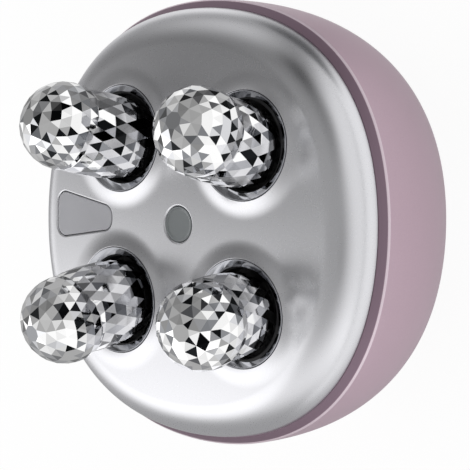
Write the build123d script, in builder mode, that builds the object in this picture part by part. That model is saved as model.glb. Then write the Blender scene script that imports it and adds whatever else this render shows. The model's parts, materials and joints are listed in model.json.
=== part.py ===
"""Palm-held facial toning device with four rotating faceted heads.

Frame: millimetres, +Z is the way the working face looks, +Y is up on that face,
-X is the side that carries the push button.  The origin is the middle of the flat
back the device rests on.
"""

import os
from math import acos, cos, pi, radians, sin, sqrt, tan

from build123d import *

os.makedirs("parts", exist_ok=True)

# ---------------------------------------------------------------- overall form
lip_half_width = 47.1          # housing at its widest line, just behind the face
lip_z = 38.0                   # height of the widest line over the flat back
back_half_width = 27.8         # flat back, at the foot of the dome curve
dome_power = 2.41              # fullness of the dome curve
back_round = 1.2               # rounding height round the flat back
back_inset = 1.1               # how far that rounding comes inwards
outline_squareness = 0.019     # how far the round outline leans to a square
outline_count = 24             # points that guide the outline
dome_stations = 6              # sections that guide the dome, and how they crowd
dome_crowding = 1.29           # towards the back
band_run = 1.75                # slanted band from the lip in to the face plate
band_rise = 1.8
shoulder_run = 7.2             # rounded shoulder of the face plate
shoulder_rise = 7.9
crown_rise = 1.85              # shallow crown of the face over its shoulder
rim_rise = 0.05                # hole rims over the top of the crown

dome_fill = 1 - (back_half_width / lip_half_width) ** dome_power
dome_depth = lip_z / dome_fill ** (1 / dome_power)
plate_half_width = lip_half_width - band_run
plate_edge_z = lip_z + band_rise
shoulder_z = plate_edge_z + shoulder_rise
shoulder_half_width = plate_half_width - shoulder_run
crown_z = shoulder_z + crown_rise
crown_radius = (shoulder_half_width**2 + crown_rise**2) / (2 * crown_rise)
rim_z = crown_z + rim_rise     # plane of the four hole rims
inner_full = 1 - outline_squareness

# ---------------------------------------------------------------- head layout
gear_module = 1.2
sun_teeth = 16
head_teeth = 24
axis_distance = gear_module * (sun_teeth + head_teeth) / 2
axis_offset = axis_distance / sqrt(2)
corners = (
    ("ul", -1, 1, 130.0),
    ("ur", 1, 1, 66.0),
    ("ll", -1, -1, 254.0),
    ("lr", 1, -1, 343.0),
)                              # name, side in x, side in y, way the tip leans

# ---------------------------------------------------------------- faceted head
ball_radius = 9.15
ball_offset = 3.4              # tip ball centre off the turning axis
ball_height = 14.3             # tip ball centre over the rim plane
ball_lean = 16.0               # lean of the ball's facet pole
body_lean = 10.4               # lean of the head's body
body_foot_offset = -0.3        # body axis off the turning axis at its foot
body_foot_drop = 1.5           # foot station below the rim plane
facets_round = 20              # facets in a full row
table_facets = 8               # sides of the flat table at the tip
table_angle = 11.5             # half angle of the table seen from the ball centre
ball_row_angle = 16.4          # angle of one row of facets on the ball
ball_rows = 7
body_start = -1.6              # first body station along its axis
body_row_length = 2.9
body_rows = 6
body_mid_station = 8.5         # widest station of the body
body_mid_radius = 8.95
body_bulge = 0.010             # how fast the body narrows from there

# ---------------------------------------------------------------- screws
screw_radius = 1.0
screw_head_radius = 2.0
screw_head_height = 1.4
screw_grip = 4.2               # how far a screw enters the piece it pulls on
screw_spare = 0.3              # each screw hole is this much deeper
screw_clearance = 0.15         # round a shank in the piece it clamps
long_screw_radius = 1.25
long_screw_head_radius = 2.4
long_screw_head_height = 1.8
long_screw_socket = 1.1
long_screw_socket_depth = 1.0
long_screw_grip = 1.4
board_screw_radius = 0.8
board_screw_head_radius = 1.5
board_screw_head_height = 0.9
board_screw_grip = 2.6

# ---------------------------------------------------------------- bezel, seal
head_gap = 0.55                # bezel clear of the widest line of a head's body
bezel_width = 1.57
bezel_lip = 0.47               # flange that overhangs the barrel
bezel_wall = 0.7
bezel_flange = 0.5
bezel_crest = 0.25             # rounding of the crest
bezel_drop = 0.9               # slope from the crest down to the throat
bezel_throat = 0.3             # upright edge under the slope
bezel_depth = 4.1
seal_wall = 0.6
seal_depth = 5.8
seal_floor = 0.8
running_gap = 0.3              # air between turning heads and still rubber
bezel_inner_radius = body_mid_radius + head_gap
bezel_outer_radius = bezel_inner_radius + bezel_width
barrel_radius = bezel_outer_radius - bezel_lip
bezel_bore_radius = barrel_radius - bezel_wall
throat_z = rim_z - bezel_drop

# ---------------------------------------------------------------- face plate
plate_wall = 1.5               # under the crown
plate_side_wall = 1.5          # at the lower edge
inner_shoulder_run = 5.0
inner_shoulder_drop = 4.3
spigot_wall = 1.3
spigot_depth = 3.0
spigot_root = 2.6              # how far the spigot runs up inside the plate
spigot_clearance = 0.1         # to the housing mouth
collar_land = 0.43             # level ground between bezel and collar
collar_run = 3.6
collar_crest_drop = 0.15       # collar crest under the bezel crest
collar_fall = 0.55             # first quick fall of the collar from its crest
collar_fall_run = 1.2
boss_radius = 2.6
boss_angles = (0.0, 90.0, 164.0, 196.0, 270.0)
boss_root = 1.6                # how far a boss reaches into the crown's wall
plate_inner_radius = inner_full * plate_half_width - plate_side_wall
collar_crest_radius = bezel_outer_radius + collar_land
collar_radius = collar_crest_radius + collar_run

# ---------------------------------------------------------------- button, lens
button_margin = 8.7            # button's left side in from the plate's edge
button_length = 17.2
button_half_left = 5.1
button_half_right = 2.3
button_corner = 2.4
button_gap = 0.15
button_inset = 0.12            # cap sits this far under the crown
button_flange = 1.0
button_flange_thickness = 0.8
button_seat_depth = 3.3        # flange seat under the top of the crown
button_seat_border = 0.6       # seat pad wider than the flange
button_travel = 0.5
button_rest_gap = 0.05
plunger_radius = 2.0
lens_radius = 3.65
lens_gap = 0.1
lens_flange = 1.05
lens_flange_thickness = 0.8
lens_inset = 0.15
lens_round = 0.2
button_left = button_margin - plate_half_width
button_right = button_left + button_length
button_seat_z = crown_z - button_seat_depth
button_flange_z = button_seat_z - button_rest_gap - button_flange_thickness
lens_flange_radius = lens_radius + lens_flange

# ---------------------------------------------------------------- housing inside
housing_wall = 2.2
floor_z = 3.6
floor_corner = 3.8             # inner dome meets the floor this far in
mouth_foot_z = 25.6            # foot of the upright mouth
gasket_width = 0.85
gasket_thickness = 1.0
gasket_clearance = 0.05
cap_pocket = 1.5
cap_sink = 0.2
cap_land = 2.65                # flat ring of housing round the back cap
cap_border = 1.8               # cap beyond the screw recesses
cap_clearance = 0.1
cap_bevel = 0.3
peg_length = 2.5
peg_clearance = 0.05
recess_gap = 0.3               # round a long screw's head
recess_wall = 1.5
pillar_grip = 8.0              # pillar clamped by a long screw
mouth_radius = plate_inner_radius + spigot_clearance
gasket_inner_radius = mouth_radius + gasket_clearance
gasket_outer_radius = gasket_inner_radius + gasket_width
gasket_bottom_z = plate_edge_z - gasket_thickness
cap_radius = inner_full * (back_half_width - back_inset) - cap_land
recess_radius = long_screw_head_radius + recess_gap
pillar_radius = recess_radius + recess_wall
pillar_ring = cap_radius - recess_radius - cap_border

# ---------------------------------------------------------------- shafts, bushes
shaft_radius = 3.0
foot_journal_radius = 2.5
shaft_bevel = 0.3
journal_clearance = 0.05
bush_wall = 1.25
bush_lip = 1.1
bush_flange_thickness = 0.6
bush_foot = 0.4                # upper bush reaches this far under its frame
end_play = 0.2
foot_gap = 0.3                 # shaft ends this far over the lower frame's underside
output_shaft_radius = 2.0
neck_wall = 1.5
neck_gap = 0.6                 # neck stops this far over the upper bush
shaft_grip = 3.4               # shaft reaches this far into the head over its rim
bush_radius = shaft_radius + journal_clearance + bush_wall
bush_flange_radius = bush_radius + bush_lip
neck_radius = shaft_radius + neck_wall
shaft_top_z = rim_z + shaft_grip

# ---------------------------------------------------------------- frames, train
frame_drop = 2.8               # upper frame's underside below the plate's edge
frame_edge_gap = 0.4           # upper frame inside the plate's spigot
frame_gap = 6.0                # between the two frames
lower_frame_thickness = 2.4
upper_frame_thickness = 2.0
lower_frame_border = 7.0       # lower frame beyond the shaft axes
lower_boss_wall = 1.95
lower_boss_height = 4.6
post_inset = 6.5               # posts in from the edge of the lower frame
post_wall = 1.6
boss_inset = 2.9               # face screws in from the edge of the upper frame
gear_lift = 1.0                # gear face over the lower frame
gear_face = 4.0
gear_backlash = 0.16
gear_hub_wall = 2.0
sun_hub_wall = 2.6
sun_hub_foot = 0.6
sun_hub_head = 0.2
pressure_angle = 20.0
upper_frame_z = plate_edge_z - frame_drop
upper_frame_top_z = upper_frame_z + upper_frame_thickness
upper_frame_radius = plate_inner_radius - spigot_wall - frame_edge_gap
boss_ring = upper_frame_radius - boss_inset
lower_frame_top_z = upper_frame_z - frame_gap
lower_frame_z = lower_frame_top_z - lower_frame_thickness
lower_frame_radius = axis_distance + lower_frame_border
post_ring = lower_frame_radius - post_inset
post_radius = screw_radius + post_wall
lower_boss_radius = long_screw_radius + lower_boss_wall
pillar_top_z = lower_frame_z - lower_boss_height
recess_top_z = pillar_top_z - pillar_grip
gear_z = lower_frame_top_z + gear_lift
gear_seat_z = lower_frame_top_z + bush_flange_thickness + end_play
gear_hub_top_z = upper_frame_z - bush_foot - end_play
neck_bottom_z = upper_frame_top_z + bush_flange_thickness + neck_gap

# ---------------------------------------------------------------- motor, power
motor_radius = 12.0
gearbox_height = 8.0
gearbox_floor = 1.4
can_height = 11.0
can_round = 0.8
end_cap_height = 1.4
end_cap_inset = 1.2
end_cap_bevel = 0.4
pilot_radius = 3.6
pilot_height = 1.6
pilot_bore_gap = 1.0           # output shaft's hole in the upper frame
motor_screw_ring = 8.4
battery_gap = 0.6              # under the motor
battery_slack = 2.0            # cell is this much narrower than it is long
battery_rim_wall = 1.2
battery_rim_height = 1.2
battery_corner = 1.5
battery_bevel = 0.6
pillar_gap = 0.1               # battery rim clear of the pillars
gearbox_bottom_z = lower_frame_z - gearbox_height
can_bottom_z = gearbox_bottom_z - can_height
end_cap_bottom_z = can_bottom_z - end_cap_height
shaft_pocket_z = gearbox_bottom_z + gearbox_floor
battery_length = 2 * (pillar_ring - pillar_radius - pillar_gap - battery_rim_wall)
battery_width = battery_length - battery_slack
battery_height = end_cap_bottom_z - battery_gap - floor_z

# ---------------------------------------------------------------- control board
board_lift = 2.0               # board over the upper frame
board_thickness = 1.2
board_margin = 3.5             # board beyond the button's left side
board_right = 8.5
board_half_width = 6.1
board_corner = 1.5
board_screw_margin = 2.1
board_hole_clearance = 0.1
standoff_radius = 2.0
switch_width = 6.0
switch_corner = 0.5
switch_height = 1.6
actuator_radius = 1.6
actuator_height = 0.4
chip_spacing = 7.5             # chip from the switch
chip_width = 5.0
chip_height = 1.0
led_radius = 1.5
led_height = 2.4
led_round = 0.9
board_z = upper_frame_top_z + board_lift
board_top_z = board_z + board_thickness
board_left = button_left - board_margin
switch_x = (button_left + button_right) / 2
chip_x = switch_x + chip_spacing
board_screw_x = (board_left + board_screw_margin, chip_x / 2, board_right - board_screw_margin)
actuator_top_z = board_top_z + switch_height + actuator_height
plunger_bottom_z = actuator_top_z + button_travel + button_rest_gap


def dome_half_width(z):
    """Half width of the housing dome at height z."""
    depth = (lip_z - z) / dome_depth
    return lip_half_width * (1 - depth**dome_power) ** (1 / dome_power)


def outline(half_width):
    """Points round the slightly squared outline."""
    ring = []
    for i in range(outline_count):
        a = 2 * pi * i / outline_count
        r = half_width * (1 - outline_squareness * cos(4 * a))
        ring.append((r * cos(a), r * sin(a)))
    return ring


def crown_height(x, y):
    """Height of the crown of the face at one place."""
    return crown_z - crown_radius + sqrt(crown_radius**2 - x * x - y * y)


def tooth_outline(teeth, phase):
    """Closed outline of a spur gear, three points to each flank."""
    pitch = gear_module * teeth / 2
    tip = pitch + 0.92 * gear_module
    root = pitch - 1.22 * gear_module
    base = pitch * cos(radians(pressure_angle))
    half_tooth = pi / (2 * teeth) - gear_backlash / (2 * pitch)
    roll = tan(radians(pressure_angle)) - radians(pressure_angle)
    points = []
    for i in range(teeth):
        centre = radians(phase) + 2 * pi * i / teeth
        flank = []
        for r in (root, max(base, root) + 0.15, pitch, tip):
            if r <= base:
                half = half_tooth + roll + 0.02
            else:
                wrap = acos(base / r)
                half = half_tooth + roll - (tan(wrap) - wrap)
            flank.append((r, half))
        for r, half in flank:
            points.append((r * cos(centre - half), r * sin(centre - half)))
        for r, half in reversed(flank):
            points.append((r * cos(centre + half), r * sin(centre + half)))
    return points


def ring_points(plane, height, radius, count, turn):
    """Corners of one ring of facets, anticlockwise about the plane's axis."""
    ring = []
    for i in range(count):
        a = 2 * pi * (i + turn) / count
        ring.append(plane.from_local_coords((radius * cos(a), radius * sin(a), height)))
    return ring


def facet_band(low, high, low_turn, high_turn):
    """Triangles that close the gap between two neighbouring rings."""
    faces = []
    i = 0
    j = 0
    while i < len(low) or j < len(high):
        next_low = (i + 1 + low_turn) / len(low)
        next_high = (j + 1 + high_turn) / len(high)
        a = low[i % len(low)]
        b = high[j % len(high)]
        if j >= len(high) or (i < len(low) and next_low <= next_high):
            corner = low[(i + 1) % len(low)]
            i += 1
        else:
            corner = high[(j + 1) % len(high)]
            j += 1
        faces.append(Face(Wire.make_polygon([a, corner, b], close=True)))
    return faces


def faceted_solid(plane, stations):
    """Closed faceted solid through rings of (height, radius, count, turn)."""
    rings = [ring_points(plane, h, r, n, t) for h, r, n, t in stations]
    faces = [Face(Wire.make_polygon(list(reversed(rings[0])), close=True))]
    for k in range(len(rings) - 1):
        same_count = stations[k][2] == stations[k + 1][2]
        same_turn = stations[k][3] == stations[k + 1][3]
        if same_count and same_turn:
            count = stations[k][2]
            for i in range(count):
                quad = [
                    rings[k][i],
                    rings[k][(i + 1) % count],
                    rings[k + 1][(i + 1) % count],
                    rings[k + 1][i],
                ]
                faces.append(Face(Wire.make_polygon(quad, close=True)))
        else:
            faces += facet_band(rings[k], rings[k + 1], stations[k][3], stations[k + 1][3])
    faces.append(Face(Wire.make_polygon(rings[-1], close=True)))
    return Solid(Shell(faces))


def button_outline(grow, corner):
    """Trapezoid of the push button, grown all round, with rounded corners."""
    with BuildSketch() as trapezoid:
        with BuildLine():
            Polyline(
                (button_left, button_half_left),
                (button_left, -button_half_left),
                (button_right, -button_half_right),
                (button_right, button_half_right),
                close=True,
            )
        make_face()
        fillet(trapezoid.vertices(), corner)
        if grow > 0:
            offset(amount=grow)
    return trapezoid


def save(piece, name):
    """Name one finished piece and write it out."""
    piece.part.label = name
    export_step(piece.part, f"parts/{name}.step")


# ================================================================ housing
# Dome loft up to the lip, a short rounded foot ring below and the slanted band that
# runs in to the face plate above.
with BuildPart() as housing:
    for station in range(dome_stations + 1):
        z = back_round + (lip_z - back_round) * (station / dome_stations) ** dome_crowding
        with BuildSketch(Plane.XY.offset(z)):
            with BuildLine():
                Spline(*outline(dome_half_width(z)), periodic=True)
            make_face()
    loft()
    with BuildSketch(Plane.XY):
        with BuildLine():
            Spline(*outline(back_half_width - back_inset), periodic=True)
        make_face()
    with BuildSketch(Plane.XY.offset(back_round)):
        with BuildLine():
            Spline(*outline(dome_half_width(back_round)), periodic=True)
        make_face()
    loft(ruled=True)
    with BuildSketch(Plane.XY.offset(lip_z)):
        with BuildLine():
            Spline(*outline(lip_half_width), periodic=True)
        make_face()
    with BuildSketch(Plane.XY.offset(plate_edge_z)):
        with BuildLine():
            Spline(*outline(plate_half_width), periodic=True)
        make_face()
    loft(ruled=True)
    # hollow: upright mouth, then an inner dome down to the floor
    floor_corner_z = floor_z + housing_wall
    floor_reach = inner_full * dome_half_width(floor_corner_z) - floor_corner
    inner_points = []
    for share in (0.75, 0.42):
        z = floor_z + share * (mouth_foot_z - floor_z)
        inner_points.append((inner_full * dome_half_width(z) - housing_wall, z))
    with BuildSketch(Plane.XZ):
        with BuildLine():
            Polyline(
                (floor_reach, floor_z),
                (0, floor_z),
                (0, plate_edge_z),
                (mouth_radius, plate_edge_z),
                (mouth_radius, mouth_foot_z),
            )
            Spline((mouth_radius, mouth_foot_z), *inner_points, (floor_reach, floor_z))
        make_face()
    revolve(axis=Axis.Z, mode=Mode.SUBTRACT)
    # groove for the face gasket
    with BuildSketch(Plane.XY.offset(gasket_bottom_z)):
        Circle(gasket_outer_radius)
    extrude(amount=plate_edge_z - gasket_bottom_z, mode=Mode.SUBTRACT)
    # four pillars for the long screws
    with BuildSketch(Plane.XY.offset(floor_z - 0.5)):
        with PolarLocations(pillar_ring, 4):
            Circle(pillar_radius)
    extrude(amount=pillar_top_z - floor_z + 0.5)
    with BuildSketch(Plane.XY.offset(cap_pocket)):
        with PolarLocations(pillar_ring, 4):
            Circle(recess_radius)
    extrude(amount=recess_top_z - cap_pocket, mode=Mode.SUBTRACT)
    with BuildSketch(Plane.XY.offset(recess_top_z)):
        with PolarLocations(pillar_ring, 4):
            Circle(long_screw_radius + screw_clearance)
    extrude(amount=pillar_top_z - recess_top_z, mode=Mode.SUBTRACT)
    # pocket for the back cap
    with BuildSketch(Plane.XY):
        Circle(cap_radius)
    extrude(amount=cap_pocket, mode=Mode.SUBTRACT)
    # locating rim for the battery on the floor
    with BuildSketch(Plane.XY.offset(floor_z)):
        RectangleRounded(
            battery_length + 2 * battery_rim_wall,
            battery_width + 2 * battery_rim_wall,
            battery_corner + battery_rim_wall,
        )
        RectangleRounded(battery_length, battery_width, battery_corner, mode=Mode.SUBTRACT)
    extrude(amount=battery_rim_height)
save(housing, "housing")

# Cap that closes the back over the screw recesses; four pegs hold it.
with BuildPart() as back_cap:
    with BuildSketch(Plane.XY.offset(cap_sink)):
        Circle(cap_radius - cap_clearance)
    extrude(amount=cap_pocket - cap_sink)
    chamfer(back_cap.faces().sort_by(Axis.Z)[0].edges(), cap_bevel)
    with BuildSketch(Plane.XY.offset(cap_pocket)):
        with PolarLocations(pillar_ring, 4):
            Circle(recess_radius - peg_clearance)
    extrude(amount=peg_length)
save(back_cap, "back_cap")

# Four long screws from the back into the lower frame.
with BuildPart() as housing_screws:
    with BuildSketch(Plane.XY.offset(recess_top_z - long_screw_head_height)):
        with PolarLocations(pillar_ring, 4):
            Circle(long_screw_head_radius)
    extrude(amount=long_screw_head_height)
    with BuildSketch(Plane.XY.offset(recess_top_z - long_screw_head_height)):
        with PolarLocations(pillar_ring, 4):
            RegularPolygon(long_screw_socket, 6)
    extrude(amount=long_screw_socket_depth, mode=Mode.SUBTRACT)
    with BuildSketch(Plane.XY.offset(recess_top_z)):
        with PolarLocations(pillar_ring, 4):
            Circle(long_screw_radius)
    extrude(amount=lower_frame_z + long_screw_grip - recess_top_z)
save(housing_screws, "housing_screws")

# ================================================================ face plate
with BuildPart() as face_plate:
    # rounded shoulder as a quarter arc between the edge and the crown
    for step in range(5):
        a = step * pi / 8
        with BuildSketch(Plane.XY.offset(plate_edge_z + (shoulder_z - plate_edge_z) * sin(a))):
            with BuildLine():
                Spline(*outline(plate_half_width - shoulder_run * (1 - cos(a))), periodic=True)
            make_face()
    loft()
    # crown: the cap of a large sphere with a flared collar round each of the four holes,
    # all trimmed to the shoulder
    with BuildPart(mode=Mode.PRIVATE) as crown:
        with BuildSketch(Plane.XZ):
            with BuildLine():
                reach = plate_half_width
                RadiusArc((0, crown_z), (reach, crown_height(reach, 0)), crown_radius)
                Polyline(
                    (reach, crown_height(reach, 0)),
                    (reach, shoulder_z - plate_wall),
                    (0, shoulder_z - plate_wall),
                    (0, crown_z),
                )
            make_face()
        revolve(axis=Axis.Z)
        crest_z = rim_z - collar_crest_drop
        with BuildPart(mode=Mode.PRIVATE) as collar:
            with BuildSketch(Plane.XZ):
                with BuildLine():
                    Polyline(
                        (collar_radius, shoulder_z),
                        (0, shoulder_z),
                        (0, crest_z),
                        (collar_crest_radius, crest_z),
                    )
                    Spline(
                        (collar_crest_radius, crest_z),
                        (collar_crest_radius + collar_fall_run, crest_z - collar_fall),
                        (collar_radius, shoulder_z),
                        tangents=((1, -0.1), (1, -0.2)),
                    )
                make_face()
            revolve(axis=Axis.Z)
        with GridLocations(2 * axis_offset, 2 * axis_offset, 2, 2):
            add(collar.part)
        with BuildSketch(Plane.XY.offset(shoulder_z - plate_wall)):
            with BuildLine():
                Spline(*outline(shoulder_half_width), periodic=True)
            make_face()
        extrude(amount=rim_z - shoulder_z + plate_wall, mode=Mode.INTERSECT)
    add(crown.part)
    # hollow under the crown, with an inner wall that follows the shoulder
    ceiling_z = crown_z - plate_wall
    ceiling_reach = plate_inner_radius - inner_shoulder_run
    ceiling_end_z = crown_height(ceiling_reach, 0) - plate_wall
    inner_wall_z = ceiling_end_z - inner_shoulder_drop
    with BuildSketch(Plane.XZ):
        with BuildLine():
            RadiusArc((0, ceiling_z), (ceiling_reach, ceiling_end_z), crown_radius)
            EllipticalCenterArc(
                (ceiling_reach, inner_wall_z),
                inner_shoulder_run,
                inner_shoulder_drop,
                start_angle=0,
                arc_size=90,
            )
            Polyline(
                (plate_inner_radius, inner_wall_z),
                (plate_inner_radius, plate_edge_z),
                (0, plate_edge_z),
                (0, ceiling_z),
            )
        make_face()
    revolve(axis=Axis.Z, mode=Mode.SUBTRACT)
    # spigot that drops into the housing mouth
    with BuildSketch(Plane.XY.offset(plate_edge_z - spigot_depth)):
        Circle(plate_inner_radius)
        Circle(plate_inner_radius - spigot_wall, mode=Mode.SUBTRACT)
    extrude(amount=spigot_depth + spigot_root)
    # bosses for the face screws
    with BuildSketch(Plane.XY.offset(upper_frame_top_z)):
        for angle in boss_angles:
            with PolarLocations(boss_ring, 1, angle):
                Circle(boss_radius)
    extrude(amount=crown_z - plate_wall - boss_root - upper_frame_top_z)
    with BuildSketch(Plane.XY.offset(upper_frame_top_z)):
        for angle in boss_angles:
            with PolarLocations(boss_ring, 1, angle):
                Circle(screw_radius)
    extrude(amount=screw_grip + screw_spare, mode=Mode.SUBTRACT)
    # head holes with their flange seats, lens hole and button window
    with BuildSketch(Plane.XY.offset(rim_z - bezel_flange)):
        with GridLocations(2 * axis_offset, 2 * axis_offset, 2, 2):
            Circle(bezel_outer_radius)
    extrude(amount=rim_rise + bezel_flange, mode=Mode.SUBTRACT)
    with BuildSketch(Plane.XY.offset(upper_frame_top_z)):
        with GridLocations(2 * axis_offset, 2 * axis_offset, 2, 2):
            Circle(barrel_radius)
        Circle(lens_radius + lens_gap)
        add(button_outline(button_gap, button_corner).sketch)
    extrude(amount=rim_z - upper_frame_top_z, mode=Mode.SUBTRACT)
    # flat seat under the crown for the button flange
    with BuildSketch(Plane.XY.offset(button_seat_z)):
        add(button_outline(button_flange + button_seat_border, button_corner).sketch)
        add(button_outline(button_gap, button_corner).sketch, mode=Mode.SUBTRACT)
    extrude(amount=crown_height(button_left, 0) - plate_wall / 3 - button_seat_z)
save(face_plate, "face_plate")

# Flat gasket between the plate's edge and the housing.
with BuildPart() as face_gasket:
    with BuildSketch(Plane.XY.offset(gasket_bottom_z)):
        Circle(gasket_outer_radius)
        Circle(gasket_inner_radius, mode=Mode.SUBTRACT)
    extrude(amount=plate_edge_z - gasket_bottom_z)
save(face_gasket, "face_gasket")

# Five screws that hold the upper frame up against the plate's bosses.
with BuildPart() as face_screws:
    with BuildSketch(Plane.XY.offset(upper_frame_z - screw_head_height)):
        for angle in boss_angles:
            with PolarLocations(boss_ring, 1, angle):
                Circle(screw_head_radius)
    extrude(amount=screw_head_height)
    with BuildSketch(Plane.XY.offset(upper_frame_z)):
        for angle in boss_angles:
            with PolarLocations(boss_ring, 1, angle):
                Circle(screw_radius)
    extrude(amount=upper_frame_thickness + screw_grip)
save(face_screws, "face_screws")

# Push button: a trapezoid cap that follows the crown, a flange that keeps it in and a
# plunger over the switch.
with BuildPart() as button_cap:
    with BuildSketch(Plane.XY.offset(button_flange_z)):
        add(button_outline(0, button_corner).sketch)
    extrude(amount=rim_z - button_flange_z)
    with BuildPart(mode=Mode.PRIVATE) as under_crown:
        with BuildSketch(Plane.XZ):
            with BuildLine():
                top_z = crown_z - button_inset
                side_z = crown_height(plate_half_width, 0) - button_inset
                RadiusArc((0, top_z), (plate_half_width, side_z), crown_radius)
                Polyline(
                    (plate_half_width, side_z),
                    (plate_half_width, board_z),
                    (0, board_z),
                    (0, top_z),
                )
            make_face()
        revolve(axis=Axis.Z)
    add(under_crown.part, mode=Mode.INTERSECT)
    with BuildSketch(Plane.XY.offset(button_flange_z)):
        add(button_outline(button_flange, button_corner).sketch)
    extrude(amount=button_flange_thickness)
    with BuildSketch(Plane.XY.offset(plunger_bottom_z)):
        with Locations((switch_x, 0)):
            Circle(plunger_radius)
    extrude(amount=button_seat_z - plunger_bottom_z)
save(button_cap, "button_cap")

# Round lens in the middle of the face, held by its flange under the crown.
with BuildPart() as centre_lens:
    lens_seat_z = crown_height(lens_flange_radius, 0) - plate_wall
    with BuildSketch(Plane.XY.offset(lens_seat_z - lens_flange_thickness)):
        Circle(lens_flange_radius)
    extrude(amount=lens_flange_thickness)
    with BuildSketch(Plane.XY.offset(lens_seat_z)):
        Circle(lens_radius)
    extrude(amount=crown_z - lens_inset - lens_seat_z)
    fillet(centre_lens.faces().sort_by(Axis.Z)[-1].edges(), lens_round)
save(centre_lens, "centre_lens")

# ================================================================ heads and their seals
# The faceted shape is made once, standing on the turning axis with its tip leaning +X.
ball_plane = Plane(
    origin=(ball_offset, 0, rim_z + ball_height),
    x_dir=(cos(radians(ball_lean)), 0, -sin(radians(ball_lean))),
    z_dir=(sin(radians(ball_lean)), 0, cos(radians(ball_lean))),
)
body_plane = Plane(
    origin=(body_foot_offset, 0, rim_z - body_foot_drop),
    x_dir=(cos(radians(body_lean)), 0, -sin(radians(body_lean))),
    z_dir=(sin(radians(body_lean)), 0, cos(radians(body_lean))),
)
ball_stations = []
for row in range(ball_rows, -1, -1):
    angle = radians(table_angle + ball_row_angle * row)
    count = min(facets_round, table_facets * max(1, row))
    turn = 0.0 if row < 2 else 0.5 * (row % 2)
    ball_stations.append((ball_radius * cos(angle), ball_radius * sin(angle), count, turn))
body_stations = []
for row in range(body_rows + 1):
    station = body_start + body_row_length * row
    radius = body_mid_radius - body_bulge * (station - body_mid_station) ** 2
    body_stations.append((station, radius, facets_round, 0.5 * (row % 2)))

with BuildPart() as faceted_head:
    add(faceted_solid(ball_plane, ball_stations))
    add(faceted_solid(body_plane, body_stations))
    with BuildSketch(Plane.XY.offset(neck_bottom_z)):
        Circle(neck_radius)
    extrude(amount=rim_z - neck_bottom_z)
    with BuildSketch(Plane.XY.offset(neck_bottom_z)):
        Circle(shaft_radius)
    extrude(amount=shaft_top_z - neck_bottom_z, mode=Mode.SUBTRACT)

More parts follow.
